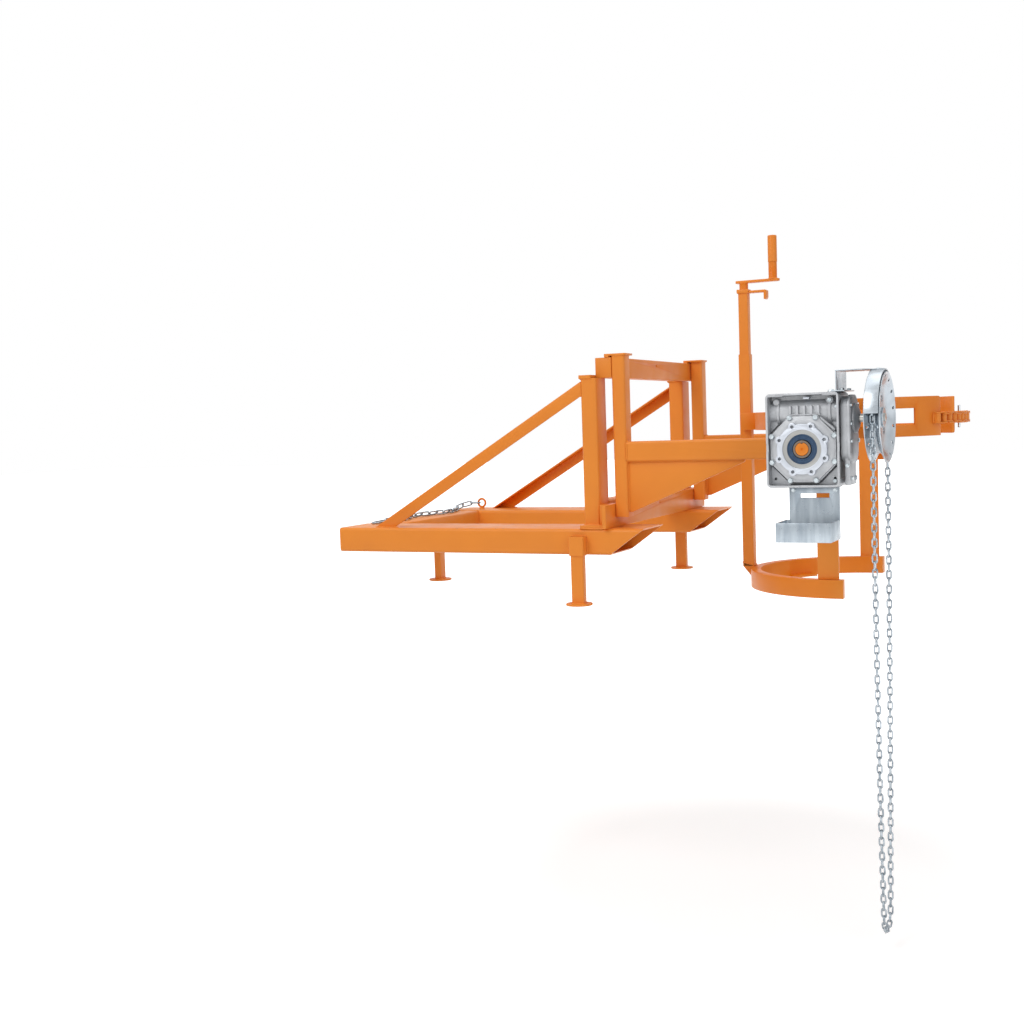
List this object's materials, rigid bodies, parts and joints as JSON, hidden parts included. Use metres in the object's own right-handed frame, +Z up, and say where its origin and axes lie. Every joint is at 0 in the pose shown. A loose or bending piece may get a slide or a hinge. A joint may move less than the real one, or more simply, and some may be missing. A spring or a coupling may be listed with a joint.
{
  "type": "drum tipper",
  "caption": "Fork-mounted drum tipper: pocket frame with two arms, geared tilting drum cradle, hand chain wheel and a crank-operated rim clamp.",
  "frame": {"origin": "midway between the two fork pocket mouths, level with the underside of the pockets", "axes": "+X forward from the truck to the drum, +Y to the left, +Z up"},
  "size_m": [1.8985, 1.1216, 1.9667],
  "materials": {
    "orange_paint": "semi-gloss paint",
    "zinc_plate": "zinc plated",
    "cast_aluminium": "as cast, with machined faces",
    "machined_steel": "turned and ground",
    "blue_rubber": "matt",
    "worm_bronze": "machined"
  },
  "bodies": {
    "frame": {"fork_pocket_right": "orange_paint", "fork_pocket_left": "orange_paint", "rear_cross_member": "orange_paint", "column_right": "orange_paint", "column_left": "orange_paint", "brace_right": "orange_paint", "brace_left": "orange_paint", "top_beam": "orange_paint", "lower_bar": "orange_paint", "tie_beam": "orange_paint", "upright_right": "orange_paint", "upright_left": "orange_paint", "arm_right": "orange_paint", "arm_left": "orange_paint", "gusset_right": "orange_paint", "gusset_left": "orange_paint", "gearbox_plate": "orange_paint", "bearing_plate": "orange_paint", "flange_bearing": "cast_aluminium", "front_leg_right": "orange_paint", "front_leg_left": "orange_paint", "leg_socket_right": "orange_paint", "leg_socket_left": "orange_paint", "rear_leg": "orange_paint", "tether_eye": "orange_paint", "tether_chain": "zinc_plate", "tether_hook": "zinc_plate", "chain_tray": "zinc_plate", "gear_housing": "cast_aluminium", "gear_cover": "cast_aluminium", "shaft_seal": "blue_rubber", "stage_housing": "cast_aluminium", "input_cap": "cast_aluminium", "chain_guard": "zinc_plate", "hand_chain": "zinc_plate"},
    "cradle": {"belly_band": "orange_paint", "side_plate_right": "orange_paint", "side_plate_left": "orange_paint", "strap_right": "orange_paint", "strap_left": "orange_paint", "bottom_ring": "orange_paint", "shaft_right": "orange_paint", "shaft_left": "orange_paint", "hollow_shaft": "machined_steel", "worm_wheel": "worm_bronze", "mast_tube": "orange_paint", "screw_nut": "machined_steel", "chain_root": "orange_paint", "hook_bolt": "machined_steel", "tension_lug": "orange_paint"},
    "worm": {"worm": "machined_steel"},
    "hand_wheel": {"hand_wheel": "zinc_plate", "input_shaft": "machined_steel"},
    "inner_mast": {"mast_inner": "orange_paint", "rim_hook": "orange_paint"},
    "crank": {"screw": "machined_steel", "crank_arm": "orange_paint"},
    "grip": {"grip_sleeve": "orange_paint"},
    "clamp_chain": {"clamp_chain": "orange_paint"},
    "t_handle": {"t_handle": "zinc_plate"}
  },
  "joints": [
    {"name": "cradle_tip", "type": "hinge", "parent": "frame", "child": "cradle", "pos_m": [1.537, 0, 0.302], "axis": [0, 1, 0], "range_deg": [-20, 180]},
    {"name": "worm_spin", "type": "hinge", "parent": "frame", "child": "worm", "pos_m": [1.537, -0.4776, 0.392], "axis": [1, 0, 0], "continuous": true},
    {"name": "hand_wheel_spin", "type": "hinge", "parent": "frame", "child": "hand_wheel", "pos_m": [1.729, -0.478, 0.38], "axis": [1, 0, 0], "continuous": true},
    {"name": "mast_slide", "type": "slide", "parent": "cradle", "child": "inner_mast", "axis": [0, 0, 1], "range_m": [-0.02, 0.1]},
    {"name": "crank_turn", "type": "hinge", "parent": "inner_mast", "child": "crank", "pos_m": [1.234, 0, 0.811], "axis": [0, 0, 1], "range_deg": [-1440, 7200]},
    {"name": "grip_spin", "type": "hinge", "parent": "crank", "child": "grip", "pos_m": [1.3265, 0, 0.9], "axis": [0, 0, 1], "continuous": true},
    {"name": "clamp_chain_swing", "type": "hinge", "parent": "cradle", "child": "clamp_chain", "pos_m": [1.84795, -0.15481, 0.372], "axis": [0, 0, -1], "range_deg": [0, 100]},
    {"name": "t_handle_spin", "type": "hinge", "parent": "cradle", "child": "t_handle", "pos_m": [1.85514, 0.18933, 0.372], "axis": [-0.2111, 0.9775, 0], "continuous": true}
  ],
  "couplings": [
    {"joint": "worm_spin", "follows": "cradle_tip", "ratio": 20},
    {"joint": "hand_wheel_spin", "follows": "cradle_tip", "ratio": -60},
    {"joint": "mast_slide", "follows": "crank_turn", "m_per_rad": 0.00079577}
  ]
}
